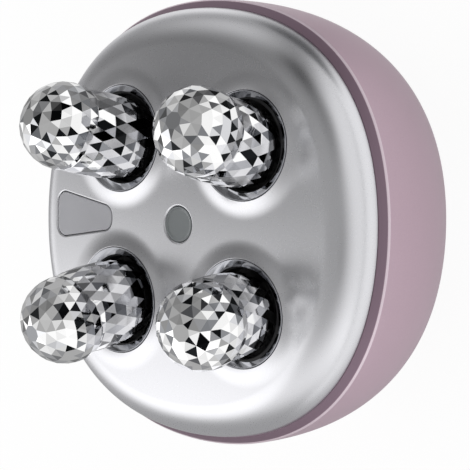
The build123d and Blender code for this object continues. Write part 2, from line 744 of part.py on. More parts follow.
for name, side_x, side_y, lean in corners:
    axis_x = side_x * axis_offset
    axis_y = side_y * axis_offset

    with BuildPart() as head:
        with Locations(Location((axis_x, axis_y, 0), (0, 0, lean))):
            add(faceted_head.part)
    save(head, f"head_{name}")

    # Bezel ring: rounded crest, slope down to the hole, barrel into the plate.
    with BuildPart() as bezel:
        with BuildSketch(Plane.XZ):
            with BuildLine():
                flange_z = rim_z - bezel_flange
                bezel_bottom_z = rim_z - bezel_depth
                Polyline(
                    (barrel_radius, flange_z),
                    (bezel_outer_radius, flange_z),
                    (bezel_outer_radius, rim_z - bezel_crest),
                )
                RadiusArc(
                    (bezel_outer_radius, rim_z - bezel_crest),
                    (bezel_outer_radius - bezel_crest, rim_z),
                    -bezel_crest,
                )
                Polyline(
                    (bezel_outer_radius - bezel_crest, rim_z),
                    (bezel_inner_radius, throat_z),
                    (bezel_inner_radius, throat_z - bezel_throat),
                    (bezel_bore_radius, throat_z - bezel_throat),
                    (bezel_bore_radius, bezel_bottom_z),
                    (barrel_radius, bezel_bottom_z),
                    (barrel_radius, flange_z),
                )
            make_face()
        revolve(axis=Axis.Z)
    with BuildPart() as bezel_ring:
        with Locations((axis_x, axis_y, 0)):
            add(bezel.part)
    save(bezel_ring, f"bezel_ring_{name}")

    # Rubber cup that closes the hole round the head's neck.
    seal_bottom_z = rim_z - seal_depth
    seal_height = throat_z - bezel_throat - seal_bottom_z
    with BuildPart() as shaft_seal:
        with BuildSketch(Plane.XY.offset(seal_bottom_z)):
            with Locations((axis_x, axis_y)):
                Circle(bezel_bore_radius)
                Circle(neck_radius + running_gap, mode=Mode.SUBTRACT)
        extrude(amount=seal_height)
        with BuildSketch(Plane.XY.offset(seal_bottom_z + seal_floor)):
            with Locations((axis_x, axis_y)):
                Circle(bezel_bore_radius - seal_wall)
        extrude(amount=seal_height - seal_floor, mode=Mode.SUBTRACT)
    save(shaft_seal, f"shaft_seal_{name}")

    # Stepped shaft: foot journal, gear seat, upper journal and head seat.
    foot_z = lower_frame_z + foot_gap
    with BuildPart() as head_shaft:
        with BuildSketch(Plane.XY.offset(foot_z)):
            with Locations((axis_x, axis_y)):
                Circle(foot_journal_radius)
        extrude(amount=gear_seat_z - foot_z)
        with BuildSketch(Plane.XY.offset(gear_seat_z)):
            with Locations((axis_x, axis_y)):
                Circle(shaft_radius)
        extrude(amount=shaft_top_z - gear_seat_z)
        chamfer(head_shaft.faces().sort_by(Axis.Z)[0].edges(), shaft_bevel)
    save(head_shaft, f"head_shaft_{name}")

    # Spur gear pressed on the shaft, its hub running between the two bushes.
    with BuildPart() as head_gear:
        with BuildSketch(Plane((axis_x, axis_y, gear_z))):
            with BuildLine():
                Polyline(*tooth_outline(head_teeth, 180 / head_teeth), close=True)
            make_face()
        extrude(amount=gear_face)
        with BuildSketch(Plane.XY.offset(gear_seat_z)):
            with Locations((axis_x, axis_y)):
                Circle(shaft_radius + gear_hub_wall)
        extrude(amount=gear_hub_top_z - gear_seat_z)
        with BuildSketch(Plane.XY.offset(gear_seat_z)):
            with Locations((axis_x, axis_y)):
                Circle(shaft_radius)
        extrude(amount=gear_hub_top_z - gear_seat_z, mode=Mode.SUBTRACT)
    save(head_gear, f"head_gear_{name}")

    # Flanged bush in the upper frame.
    with BuildPart() as upper_bush:
        with BuildSketch(Plane.XY.offset(upper_frame_z - bush_foot)):
            with Locations((axis_x, axis_y)):
                Circle(bush_radius)
        extrude(amount=upper_frame_thickness + bush_foot)
        with BuildSketch(Plane.XY.offset(upper_frame_top_z)):
            with Locations((axis_x, axis_y)):
                Circle(bush_flange_radius)
        extrude(amount=bush_flange_thickness)
        with BuildSketch(Plane.XY.offset(upper_frame_z - bush_foot)):
            with Locations((axis_x, axis_y)):
                Circle(shaft_radius + journal_clearance)
        extrude(
            amount=bush_foot + upper_frame_thickness + bush_flange_thickness,
            mode=Mode.SUBTRACT,
        )
    save(upper_bush, f"upper_bush_{name}")

    # Flanged bush in the lower frame.
    with BuildPart() as lower_bush:
        with BuildSketch(Plane.XY.offset(lower_frame_z)):
            with Locations((axis_x, axis_y)):
                Circle(bush_radius)
        extrude(amount=lower_frame_thickness)
        with BuildSketch(Plane.XY.offset(lower_frame_top_z)):
            with Locations((axis_x, axis_y)):
                Circle(bush_flange_radius)
        extrude(amount=bush_flange_thickness)
        with BuildSketch(Plane.XY.offset(lower_frame_z)):
            with Locations((axis_x, axis_y)):
                Circle(foot_journal_radius + journal_clearance)
        extrude(amount=lower_frame_thickness + bush_flange_thickness, mode=Mode.SUBTRACT)
    save(lower_bush, f"lower_bush_{name}")

# ================================================================ frames
with BuildPart() as lower_frame:
    with BuildSketch(Plane.XY.offset(lower_frame_z)):
        Circle(lower_frame_radius)
        Circle(pilot_radius, mode=Mode.SUBTRACT)
        with GridLocations(2 * axis_offset, 2 * axis_offset, 2, 2):
            Circle(bush_radius, mode=Mode.SUBTRACT)
        with PolarLocations(motor_screw_ring, 2):
            Circle(screw_radius + screw_clearance, mode=Mode.SUBTRACT)
    extrude(amount=lower_frame_thickness)
    with BuildSketch(Plane.XY.offset(lower_frame_top_z - screw_head_height)):
        with PolarLocations(motor_screw_ring, 2):
            Circle(screw_head_radius)
    extrude(amount=screw_head_height, mode=Mode.SUBTRACT)
    with BuildSketch(Plane.XY.offset(lower_frame_top_z)):
        with PolarLocations(post_ring, 4):
            Circle(post_radius)
    extrude(amount=upper_frame_z - lower_frame_top_z)
    with BuildSketch(Plane.XY.offset(upper_frame_z)):
        with PolarLocations(post_ring, 4):
            Circle(screw_radius)
    extrude(amount=-screw_grip - screw_spare, mode=Mode.SUBTRACT)
    with BuildSketch(Plane.XY.offset(pillar_top_z)):
        with PolarLocations(pillar_ring, 4):
            Circle(lower_boss_radius)
    extrude(amount=lower_frame_z - pillar_top_z)
    with BuildSketch(Plane.XY.offset(pillar_top_z)):
        with PolarLocations(pillar_ring, 4):
            Circle(long_screw_radius)
    extrude(amount=lower_boss_height + long_screw_grip + screw_spare, mode=Mode.SUBTRACT)
save(lower_frame, "lower_frame")

with BuildPart() as upper_frame:
    with BuildSketch(Plane.XY.offset(upper_frame_z)):
        Circle(upper_frame_radius)
        Circle(output_shaft_radius + pilot_bore_gap, mode=Mode.SUBTRACT)
        with GridLocations(2 * axis_offset, 2 * axis_offset, 2, 2):
            Circle(bush_radius, mode=Mode.SUBTRACT)
        with PolarLocations(post_ring, 4):
            Circle(screw_radius + screw_clearance, mode=Mode.SUBTRACT)
        for angle in boss_angles:
            with PolarLocations(boss_ring, 1, angle):
                Circle(screw_radius + screw_clearance, mode=Mode.SUBTRACT)
    extrude(amount=upper_frame_thickness)
    for x in board_screw_x:
        with BuildSketch(Plane.XY.offset(upper_frame_top_z)):
            with Locations((x, 0)):
                Circle(standoff_radius)
        extrude(amount=board_lift)
        with BuildSketch(Plane.XY.offset(board_z)):
            with Locations((x, 0)):
                Circle(board_screw_radius)
        extrude(amount=-board_screw_grip - screw_spare, mode=Mode.SUBTRACT)
save(upper_frame, "upper_frame")

# Four screws from the top of the upper frame into the lower frame's posts.
with BuildPart() as frame_screws:
    with BuildSketch(Plane.XY.offset(upper_frame_top_z)):
        with PolarLocations(post_ring, 4):
            Circle(screw_head_radius)
    extrude(amount=screw_head_height)
    with BuildSketch(Plane.XY.offset(upper_frame_top_z)):
        with PolarLocations(post_ring, 4):
            Circle(screw_radius)
    extrude(amount=-upper_frame_thickness - screw_grip)
save(frame_screws, "frame_screws")

# ================================================================ drive
with BuildPart() as sun_gear:
    with BuildSketch(Plane.XY.offset(gear_z)):
        with BuildLine():
            Polyline(*tooth_outline(sun_teeth, 0), close=True)
        make_face()
    extrude(amount=gear_face)
    with BuildSketch(Plane.XY.offset(gear_z - sun_hub_foot)):
        Circle(output_shaft_radius + sun_hub_wall)
    extrude(amount=sun_hub_foot + gear_face + sun_hub_head)
    with BuildSketch(Plane.XY.offset(gear_z - sun_hub_foot)):
        Circle(output_shaft_radius)
    extrude(amount=sun_hub_foot + gear_face + sun_hub_head, mode=Mode.SUBTRACT)
save(sun_gear, "sun_gear")

with BuildPart() as output_shaft:
    with BuildSketch(Plane.XY.offset(shaft_pocket_z + end_play)):
        Circle(output_shaft_radius)
    extrude(amount=gear_hub_top_z + end_play - shaft_pocket_z)
    chamfer(output_shaft.faces().sort_by(Axis.Z)[-1].edges(), shaft_bevel)
save(output_shaft, "output_shaft")

with BuildPart() as gearbox_case:
    with BuildSketch(Plane.XY.offset(gearbox_bottom_z)):
        Circle(motor_radius)
    extrude(amount=lower_frame_z - gearbox_bottom_z)
    with BuildSketch(Plane.XY.offset(lower_frame_z)):
        Circle(pilot_radius)
    extrude(amount=pilot_height)
    with BuildSketch(Plane.XY.offset(shaft_pocket_z)):
        Circle(output_shaft_radius + journal_clearance)
    extrude(amount=lower_frame_z + pilot_height - shaft_pocket_z, mode=Mode.SUBTRACT)
    with BuildSketch(Plane.XY.offset(lower_frame_z)):
        with PolarLocations(motor_screw_ring, 2):
            Circle(screw_radius)
    extrude(amount=-screw_grip - screw_spare, mode=Mode.SUBTRACT)
save(gearbox_case, "gearbox_case")

with BuildPart() as motor_can:
    with BuildSketch(Plane.XY.offset(can_bottom_z)):
        Circle(motor_radius)
    extrude(amount=gearbox_bottom_z - can_bottom_z)
    fillet(motor_can.faces().sort_by(Axis.Z)[0].edges(), can_round)
save(motor_can, "motor_can")

with BuildPart() as motor_end_cap:
    with BuildSketch(Plane.XY.offset(end_cap_bottom_z)):
        Circle(motor_radius - end_cap_inset)
    extrude(amount=can_bottom_z - end_cap_bottom_z)
    chamfer(motor_end_cap.faces().sort_by(Axis.Z)[0].edges(), end_cap_bevel)
save(motor_end_cap, "motor_end_cap")

# Two sunk screws from the lower frame into the gearbox.
with BuildPart() as motor_screws:
    with BuildSketch(Plane.XY.offset(lower_frame_top_z)):
        with PolarLocations(motor_screw_ring, 2):
            Circle(screw_head_radius)
    extrude(amount=-screw_head_height)
    with BuildSketch(Plane.XY.offset(lower_frame_top_z)):
        with PolarLocations(motor_screw_ring, 2):
            Circle(screw_radius)
    extrude(amount=-lower_frame_thickness - screw_grip)
save(motor_screws, "motor_screws")

# ================================================================ power and control
with BuildPart() as battery:
    with BuildSketch(Plane.XY.offset(floor_z)):
        RectangleRounded(battery_length, battery_width, battery_corner)
    extrude(amount=battery_height)
    fillet(battery.faces().sort_by(Axis.Z)[-1].edges(), battery_bevel)
save(battery, "battery")

with BuildPart() as control_board:
    with BuildSketch(Plane.XY.offset(board_z)):
        with Locations(((board_left + board_right) / 2, 0)):
            RectangleRounded(board_right - board_left, 2 * board_half_width, board_corner)
        for x in board_screw_x:
            with Locations((x, 0)):
                Circle(board_screw_radius + board_hole_clearance, mode=Mode.SUBTRACT)
    extrude(amount=board_thickness)
save(control_board, "control_board")

with BuildPart() as board_screws:
    for x in board_screw_x:
        with BuildSketch(Plane.XY.offset(board_top_z)):
            with Locations((x, 0)):
                Circle(board_screw_head_radius)
        extrude(amount=board_screw_head_height)
        with BuildSketch(Plane.XY.offset(board_top_z)):
            with Locations((x, 0)):
                Circle(board_screw_radius)
        extrude(amount=-board_thickness - board_screw_grip)
save(board_screws, "board_screws")

with BuildPart() as tact_switch:
    with BuildSketch(Plane.XY.offset(board_top_z)):
        with Locations((switch_x, 0)):
            RectangleRounded(switch_width, switch_width, switch_corner)
    extrude(amount=switch_height)
    with BuildSketch(Plane.XY.offset(board_top_z + switch_height)):
        with Locations((switch_x, 0)):
            Circle(actuator_radius)
    extrude(amount=actuator_height)
save(tact_switch, "tact_switch")

with BuildPart() as control_chip:
    with BuildSketch(Plane.XY.offset(board_top_z)):
        with Locations((chip_x, 0)):
            Rectangle(chip_width, chip_width)
    extrude(amount=chip_height)
save(control_chip, "control_chip")

with BuildPart() as indicator_led:
    with BuildSketch(Plane.XY.offset(board_top_z)):
        Circle(led_radius)
    extrude(amount=led_height)
    fillet(indicator_led.faces().sort_by(Axis.Z)[-1].edges(), led_round)
save(indicator_led, "indicator_led")
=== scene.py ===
"""Palm-held facial toning device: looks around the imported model.

Lengths are in millimetres until a mesh is made, which turns them to metres.
+Z is the way the working face looks, +Y is up on that face, -X carries the push button.
"""

import json
import math

import bmesh
import bpy
import numpy as np
from mathutils import Matrix, Vector


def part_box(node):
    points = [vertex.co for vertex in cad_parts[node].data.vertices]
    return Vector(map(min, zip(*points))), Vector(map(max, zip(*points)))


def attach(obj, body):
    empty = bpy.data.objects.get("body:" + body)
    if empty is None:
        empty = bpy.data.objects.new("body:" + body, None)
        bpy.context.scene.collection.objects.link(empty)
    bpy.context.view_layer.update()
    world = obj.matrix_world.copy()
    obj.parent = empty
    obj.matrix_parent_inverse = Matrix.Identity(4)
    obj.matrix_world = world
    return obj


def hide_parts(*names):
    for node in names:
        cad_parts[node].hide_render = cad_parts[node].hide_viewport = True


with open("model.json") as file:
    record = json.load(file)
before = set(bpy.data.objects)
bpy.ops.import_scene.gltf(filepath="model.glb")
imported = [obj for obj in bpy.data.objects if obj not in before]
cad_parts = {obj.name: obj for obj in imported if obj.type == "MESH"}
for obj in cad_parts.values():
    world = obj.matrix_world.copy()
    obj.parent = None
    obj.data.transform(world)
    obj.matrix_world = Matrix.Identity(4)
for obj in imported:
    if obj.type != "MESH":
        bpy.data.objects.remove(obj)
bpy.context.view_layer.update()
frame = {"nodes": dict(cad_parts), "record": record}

MM = 0.001
scene = bpy.context.scene


# ================================================================ sizes from the frame
def box_mm(node):
    """Lowest and highest corner of a node in millimetres."""
    low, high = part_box(node)
    return np.array(low) / MM, np.array(high) / MM


housing_high = box_mm("housing")[1]
lens_top_z = box_mm("centre_lens")[1][2]
cap_low, cap_high = box_mm("back_cap")
gasket_outer = box_mm("face_gasket")[1][0]
button_foot_z = box_mm("button_cap")[0][2]

HEADS = ("ul", "ur", "ll", "lr")
hole_centres = {}
for corner in HEADS:
    ring_low, ring_high = box_mm(f"bezel_ring_{corner}")
    hole_centres[corner] = (ring_low + ring_high)[:2] / 2
bezel_outer = (ring_high[0] - ring_low[0]) / 2
bezel_bottom_z = ring_low[2]
rim_z = ring_high[2]

# housing
SQUARENESS = 0.019             # how far the round outline leans to a square
lip_half_width = housing_high[0] / (1 - SQUARENESS)
seam_z = housing_high[2]       # where the face plate meets the housing
BAND_RUN = 1.75                # slanted front band of the housing
BAND_RISE = 1.8
lip_z = seam_z - BAND_RISE
plate_half_width = lip_half_width - BAND_RUN
BACK_HALF_WIDTH = 27.8
BACK_INSET = 1.1               # foot ring's edge inside the back's half width
BACK_ROUND = 1.2               # height at which the foot runs into the dome
BACK_BLEND = 0.8               # rounding of the foot
DOME_START_Z = 3.0
DOME_STEP = 0.4                # height left free between the dome's rows and foot or lip
DOME_ROWS = 90
DOME_POWER = 2.41              # fullness of the dome
LIP_ROUND = 0.45               # rounding of the housing's widest edge
SEAM_GAP = 0.06                # fine groove between face plate and housing
SEAM_ROUND = 0.16
SEAM_LEDGE = (0.4, 0.5, 0.1)   # ledge in the seam: width, depth, rounding
MOUTH_TOP = (1.0, 0.2)         # top of the mouth: depth under the seam, rounding
MOUTH_GAP = 0.05
MOUTH_FOOT_Z = 25.6
FLOOR_Z = 3.6
FLOOR_CORNER = 2.0             # how far the inner floor starts inside the wall
INNER_HEIGHTS = (20.0, 13.0, 7.0, FLOOR_Z)
HOUSING_WALL = 2.2
HOUSING_AROUND = 384
GASKET_WIDTH = 0.85
CAP_POCKET = 1.5               # depth of the pocket that holds the back cap
CAP_POCKET_ROUND = 0.2
CAP_GAP = 0.1
POCKET_MARGIN = 0.5            # the outline stays round this far outside pocket and mouth
MOUTH_MARGIN = 0.1

# lens, crown, collars and bezels
LENS_INSET = 0.15              # lens under the top of the crown
LENS_RADIUS = 3.65
LENS_GAP = 0.06
LENS_ROUND = 0.42              # dished edge of the plate round the lens
LENS_DISH = (0.6, 0.2, 0.3)    # dished middle: inside the wall, depth, rounding
LENS_RIM = (0.35, 0.15)        # flat rim round it: width, rounding
LENS_WALL = 1.4
LENS_AROUND = 128
crown_z = lens_top_z + LENS_INSET
CROWN_RADIUS = 394.3
SHOULDER_RUN = 7.4             # rounded shoulder of the face plate
COLLAR_DROP = 0.25             # collar crest under the bezel crest
COLLAR_RUN = 4.0
COLLAR_POWER = 2.5             # how fast a collar rises towards its hole
BEZEL_GAP = 0.05
EDGE_ROUND = 0.2               # rounding of every cut edge in the face
collar_crest = bezel_outer + BEZEL_GAP + EDGE_ROUND

BEZEL_BORE = 1.17              # bore, throat and outer step inside the ring's outside
BEZEL_THROAT = 1.57
BEZEL_STEP = 0.47
BEZEL_CREST = (0.5, 0.25)      # crest: height, rounding
BEZEL_SLOPE = (0.9, 0.12)      # slope down to the throat: depth, rounding
BEZEL_THROAT_DEPTH = 1.2
BEZEL_AROUND = 256

FACE_AROUND = 640              # grid of the face plate
FACE_RINGS = 92
SHOULDER_RINGS = 27
HOLE_BORDER = 0.3              # strips that finish an edge start this far outside it
LENS_BORDER = 0.5
WINDOW_BORDER = 0.7
BORDER_REACH = 1.0             # grid points this near to a border are drawn onto it
HOLE_DEPTH = 1.4               # depth of the straight wall under an edge
WINDOW_DEPTH = 3.0
STRIP_AROUND = 320
FLAT_ROWS = 5                  # rows of a strip in the face and over its rounding
BEND_ROWS = 5

# push button
BUTTON_MARGIN = 8.7            # its left end inside the plate's edge
BUTTON_LENGTH = 17.2
BUTTON_HALF_LEFT = 5.1
BUTTON_HALF_RIGHT = 2.3
BUTTON_CORNER = 2.4
BUTTON_GAP = 0.12
BUTTON_ROUND = 0.35
BUTTON_INSET = 0.12            # cap under the crown
BUTTON_FLANGE = 0.9            # its wall starts this far over the cap's foot
BUTTON_RINGS = 23
BUTTON_ARC_STEPS = 16
button_left = BUTTON_MARGIN - plate_half_width

# faceted heads
TIP_WAYS = {"ul": 130.0, "ur": 66.0, "ll": 254.0, "lr": 343.0}    # way each tip leans
BALL_RADIUS = 9.15
BALL_OFFSET = 3.4              # tip ball centre off the turning axis
BALL_HEIGHT = 14.3             # and over the rim plane
BALL_LEAN = math.radians(16.0)
BALL_ROWS = 9
BALL_ROW_ANGLE = math.radians(13.2)
TABLE_ANGLE = math.radians(11.5)    # half angle of the flat table at the tip
TABLE_FACETS = 8
BODY_LEAN = math.radians(10.4)
BODY_FOOT = (-0.3, -1.5)       # foot of the body's axis: off the turning axis, over the rim
BODY_STATIONS = (-1.6, 15.8)   # first and last ring along that axis
BODY_ROWS = 6
BODY_MID_STATION = 8.5
BODY_MID_RADIUS = 8.95
BODY_BULGE = 0.010             # how fast the body narrows from there
FACETS_ROUND = 24
NECK_RADIUS = 4.5
NECK_AROUND = 64

# finishes
FACET_LEAN = 0.45              # size of the random lean of a facet's normal
FACET_SNAP = 0.01              # normals alike to this much belong to one facet
FACET_SEED = 2.5
# Where each shade's share of the facets starts, and the shade. All of them, nearly black
# to white, are painted reflections, stand-ins for dark and bright reflections. Shades,
# shares and seed were picked by comparing renders with the photo.
FACET_PAINTED_REFLECTIONS = ((0.0, "1C1E20"), (0.09, "8A8C90"), (0.20, "D6D7DA"), (0.38, "FFFFFF"))
BAND_COLOUR = "7C6875"         # slanted front band of the housing
BAND_FADE = (0.05, 0.45)       # heights over the lip between which it sets in
LIP_HIGHLIGHT_COLOUR = "D2C2CB"          # painted highlight: a thin lighter line along the lip
LIP_HIGHLIGHT_LINE = (0.1, 0.22)         # its height over the lip and its half width

# camera, floor and studio
CAMERA_SPOT = (0.107, -1.116, 39.8)
CAMERA_SIDE = 0.7332           # turned this far towards +X, then up, then rolled, in radians
CAMERA_RISE = 0.0761
CAMERA_ROLL = 0.0219
CAMERA_DISTANCE = 550.8
CAMERA_LENS = 203.2
CAMERA_SENSOR = 36.0
CAMERA_SHIFT = (0.0532, -0.0153)
CAMERA_CLIP = 10.0

FLOOR_HALF = 4000.0
FLOOR_COLOUR = "F6F6F6"
FLOOR_GLOW = 0.93              # share of the floor's own white for the camera
TABLE_COLOUR = "4A4A4C"        # the floor in reflections, which show the table's light and dark
# The sheets' and the cards' numbers are mostly a least-squares fit to the photo's
# brightness, by what each pixel of the plate mirrors, and the rest were set from the
# same comparison. They suit the photo's side and are not a plain studio.
TABLE_BASE = 0.35
TABLE_SHEETS = (
    ((330, -135), (335, 1500), 0.65, 1.0),   # white sheet away from the button
    ((-30, 90), (200, 100), 0.0, 1.0),       # white strip along the upper rim
    ((30, 340), (125, 340), 0.6, 0.02),      # black strip beyond it
    ((110, 80), (95, 70), 0.4, 1.0),         # white card near the upper right
    ((-700, -130), (620, 150), 0.3, 0.9),    # white strip beyond the button
)                              # middle, half sizes, share that is full, brightness

STUDIO_BASE = 0.39
STUDIO_CARDS = (
    ((0.20, -0.74, -0.64), 108, 58, 1.22),   # big soft light below the face
    ((-0.48, -0.88, -0.06), 81, 52, 0.98),   # and its near end
    ((-0.60, -0.51, 0.62), 31, 17, 1.45),    # white box on the button's side
    ((-0.38, -0.85, -0.36), 59, 27, 0.40),   # grey step under it
    ((-0.98, -0.14, 0.10), 24, 8, 1.15),     # white wall beyond the button
    ((0.89, 0.42, -0.20), 74, 42, 0.90),     # white wall on the other side
    ((-0.89, 0.35, 0.30), 34, 6, 0.25),      # dark flag, upper left
    ((-0.32, 0.86, 0.39), 60, 1, 0.00),      # dark flag over the top
    ((-0.48, 0.84, 0.25), 42, 1, 0.66),      # grey card between the two
    ((0.53, -0.17, 0.83), 13, 1, 0.24),      # narrow flag over the right shoulder
    ((0.37, 0.49, 0.79), 24, 1, 0.20),       # one above it
    ((0.05, 0.77, 0.64), 18, 4, 0.02),       # one over the upper right rim
    ((-0.63, 0.14, 0.76), 24, 5, 0.16),      # and one that the flat of the face mirrors
)                              # way to it, angle it starts and is full at, brightness

LAMPS = (
    ("side_strip", (900, -60, 60), (60, 900), 1.3),
    ("low_softbox", (600, -700, 300), (400, 400), 3.2),
    ("far_softbox", (-800, 100, 250), (400, 400), 4.5),
    ("upper_softbox", (100, 900, 250), (400, 400), 2.5),
)                              # name, place, size, watts
LAMP_AIM = (0, 0, 40)


# ================================================================ mesh making
def put_mesh(name, points, faces, normals=None, smooth=True):
    """Object from millimetre points and rows of point numbers, one row a face; points
    that no face uses are left out."""
    used, numbers = np.unique(faces, return_inverse=True)
    mesh = bpy.data.meshes.new(name)
    mesh.vertices.add(len(used))
    mesh.vertices.foreach_set("co", (points[used] * MM).ravel())
    mesh.loops.add(faces.size)
    mesh.loops.foreach_set("vertex_index", numbers.ravel())
    mesh.polygons.add(len(faces))
    mesh.polygons.foreach_set("loop_start", np.arange(0, faces.size, faces.shape[1]))
    mesh.update(calc_edges=True)
    mesh.polygons.foreach_set("use_smooth", np.full(len(faces), smooth))
    if normals is not None:
        mesh.normals_split_custom_set_from_vertices(normals[used])
    piece = bpy.data.objects.new(name, mesh)
    scene.collection.objects.link(piece)
    return piece


def grid_quads(rows, columns, wrap_rows=False, wrap_columns=False):
    """Quads over a grid of points numbered row by row; a wrapped way closes its seam."""
    here = np.arange(rows * columns).reshape(rows, columns)
    right = np.roll(here, -1, axis=1)
    below = np.roll(here, -1, axis=0)
    quads = np.stack([here, right, np.roll(below, -1, axis=1), below], axis=-1)
    if not wrap_rows:
        quads = quads[:-1]
    if not wrap_columns:
        quads = quads[:, :-1]
    return quads.reshape(-1, 4)


def merge_and_point_out(piece):
    """Joins doubled points, such as a pole's, and turns every face outwards."""
    shell = bmesh.new()
    shell.from_mesh(piece.data)
    bmesh.ops.remove_doubles(shell, verts=shell.verts, dist=1e-7)
    bmesh.ops.recalc_face_normals(shell, faces=shell.faces)
    shell.to_mesh(piece.data)
    shell.free()


def rounded_profile(corners, steps=6):
    """Profile through (radius, height, rounding) corners, each rounding a quadratic bend
    between points that far before and after its corner, at most half a side."""
    corners = np.array(corners, float)
    spots = corners[:, :2]
    line = [spots[:1]]
    bend = np.linspace(0, 1, steps)[:, None]
    for before, spot, after, size in zip(spots[:-2], spots[1:-1], spots[2:], corners[1:-1, 2]):
        if size == 0:
            line.append(spot[None])
            continue
        start = spot + (before - spot) * min(size / np.linalg.norm(before - spot), 0.5)
        end = spot + (after - spot) * min(size / np.linalg.norm(after - spot), 0.5)
        line.append((1 - bend) ** 2 * start + 2 * bend * (1 - bend) * spot + bend**2 * end)
    line.append(spots[-1:])
    return np.concatenate(line)


def turned(name, profile, around, centre=(0.0, 0.0), lean=(0.0, 0.0), squared=0.0, closed=True):
    """Profile of (radius, height) turned round an upright axis. Each radius is scaled by
    1 - squared * cos(4 * angle), which squares the outline a little, and the height falls
    by the lean's slope along X and along Y."""
    angle = np.linspace(0, 2 * np.pi, around, endpoint=False)[:, None]
    radius = profile[:, 0] * (1 - np.broadcast_to(squared, len(profile)) * np.cos(4 * angle))
    x = radius * np.cos(angle)
    y = radius * np.sin(angle)
    height = profile[:, 1] - lean[0] * x - lean[1] * y
    points = np.stack([centre[0] + x, centre[1] + y, height], axis=-1)
    quads = grid_quads(around, len(profile), wrap_rows=True, wrap_columns=closed)
    piece = put_mesh(name, points.reshape(-1, 3), quads)
    merge_and_point_out(piece)
    return piece


# ================================================================ housing
def dome_half_width(z):
    """Superellipse of the dome: the power of the half width, as a share of the lip's, and
    the power of the depth behind the lip add up to one. The depth is scaled so that the
    back comes to its own half width."""
    fill = 1 - (BACK_HALF_WIDTH / lip_half_width) ** DOME_POWER
    depth = (lip_z - z) / lip_z * fill ** (1 / DOME_POWER)
    return lip_half_width * (1 - depth**DOME_POWER) ** (1 / DOME_POWER)


def make_housing():
    """Closed wall of the housing: pocket of the back cap, foot ring, dome, lip, slanted
    front band, seam, mouth and inner dome, turned round. The foot, the dome and what is
    wider than the mouth have the squared outline; the pocket and the inside are round."""
    pocket = (cap_high[0] - cap_low[0]) / 2 + CAP_GAP
    mouth = gasket_outer - GASKET_WIDTH - MOUTH_GAP
    foot = rounded_profile(
        [
            (0, CAP_POCKET, 0),
            (pocket, CAP_POCKET, 0),
            (pocket, 0.0, CAP_POCKET_ROUND),
            (BACK_HALF_WIDTH - BACK_INSET, 0.0, BACK_BLEND),
            (dome_half_width(BACK_ROUND), BACK_ROUND, BACK_BLEND),
            (dome_half_width(DOME_START_Z), DOME_START_Z, 0),
        ]
    )
    height = np.linspace(DOME_START_Z + DOME_STEP, lip_z - DOME_STEP, DOME_ROWS)
    dome = np.stack([dome_half_width(height), height], axis=-1)
    band = rounded_profile(
        [
            (*dome[-1], 0),
            (lip_half_width, lip_z, LIP_ROUND),
            (plate_half_width, seam_z - SEAM_GAP, SEAM_ROUND),
            (plate_half_width - SEAM_LEDGE[0], seam_z - SEAM_LEDGE[1], SEAM_LEDGE[2]),
            (mouth, seam_z - MOUTH_TOP[0], MOUTH_TOP[1]),
            (mouth, MOUTH_FOOT_Z, 0),
        ]
    )
    inner_height = np.array(INNER_HEIGHTS)
    inner = (1 - SQUARENESS) * dome_half_width(inner_height) - HOUSING_WALL
    inner[-1] -= FLOOR_CORNER
    inner = np.stack([inner, inner_height], axis=-1)
    profile = np.concatenate([foot, dome, band[1:], inner, [(0.0, FLOOR_Z)]])
    radius = profile[:, 0]
    before_band = np.arange(len(profile)) < len(foot) + len(dome)
    outside = before_band | (radius > mouth + MOUTH_MARGIN)
    squared = SQUARENESS * (outside & (radius > pocket + POCKET_MARGIN))
    return turned("housing_shell", profile, HOUSING_AROUND, squared=squared, closed=False)


# ================================================================ face plate
def crown_height(x, y):
    """Height of the crown: the cap of a large sphere with its top on the middle axis."""
    return crown_z - CROWN_RADIUS + np.sqrt(CROWN_RADIUS**2 - x**2 - y**2)


def rim_height(spot, x, y):
    """Plane of a hole's rim: level with the frame at its centre, and leaning outwards by
    the crown's own slope there."""
    return rim_z - ((x - spot[0]) * spot[0] + (y - spot[1]) * spot[1]) / CROWN_RADIUS


def face_height(x, y):
    """Crown with four collars: each lifts it towards its hole's rim plane. The weight is 1
    at the hole and falls to 0 over the collar's run, as a power of the way left."""
    crown = crown_height(x, y)
    height = crown.copy()
    for spot in hole_centres.values():
        away = np.hypot(x - spot[0], y - spot[1])
        t = np.clip((away - collar_crest) / COLLAR_RUN, 0, 1)
        height += (1 - t) ** COLLAR_POWER * (rim_height(spot, x, y) - COLLAR_DROP - crown)
    return height


def plate_edge(angle):
    """Outline radius of the face plate at its lower edge: its half width, less a share of
    it that goes with cos(4 * angle)."""
    return plate_half_width * (1 - SQUARENESS * np.cos(4 * angle))


def plate_height(x, y):
    """Face height, falling to the seam as a quarter ellipse over the shoulder's run."""
    run = np.hypot(x, y) - plate_edge(np.arctan2(y, x)) + SHOULDER_RUN
    share = np.clip(run / SHOULDER_RUN, 0, 1)
    top = face_height(x, y)
    return seam_z + (top - seam_z) * np.sqrt(1 - share**2)


def slope_normals(height_of, x, y, step=0.01):
    """Unit normals of a height field, from its central differences."""
    slope_x = (height_of(x + step, y) - height_of(x - step, y)) / (2 * step)
    slope_y = (height_of(x, y + step) - height_of(x, y - step)) / (2 * step)
    normals = np.stack([-slope_x, -slope_y, np.ones_like(slope_x)], -1)
    return normals / np.linalg.norm(normals, axis=-1, keepdims=True)


def button_core():
    """Corner centres of the button's rounded trapezoid, anticlockwise: where its sides
    meet once each is moved inwards by the corner radius."""
    slope = (BUTTON_HALF_LEFT - BUTTON_HALF_RIGHT) / BUTTON_LENGTH
    reach = BUTTON_CORNER * math.hypot(1, slope)
    left_half = BUTTON_HALF_LEFT - slope * BUTTON_CORNER - reach
    right_half = BUTTON_HALF_RIGHT + slope * BUTTON_CORNER - reach
    left = button_left + BUTTON_CORNER
    right = button_left + BUTTON_LENGTH - BUTTON_CORNER
    return np.array(
        [[left, -left_half], [right, -right_half], [right, right_half], [left, left_half]]
    )


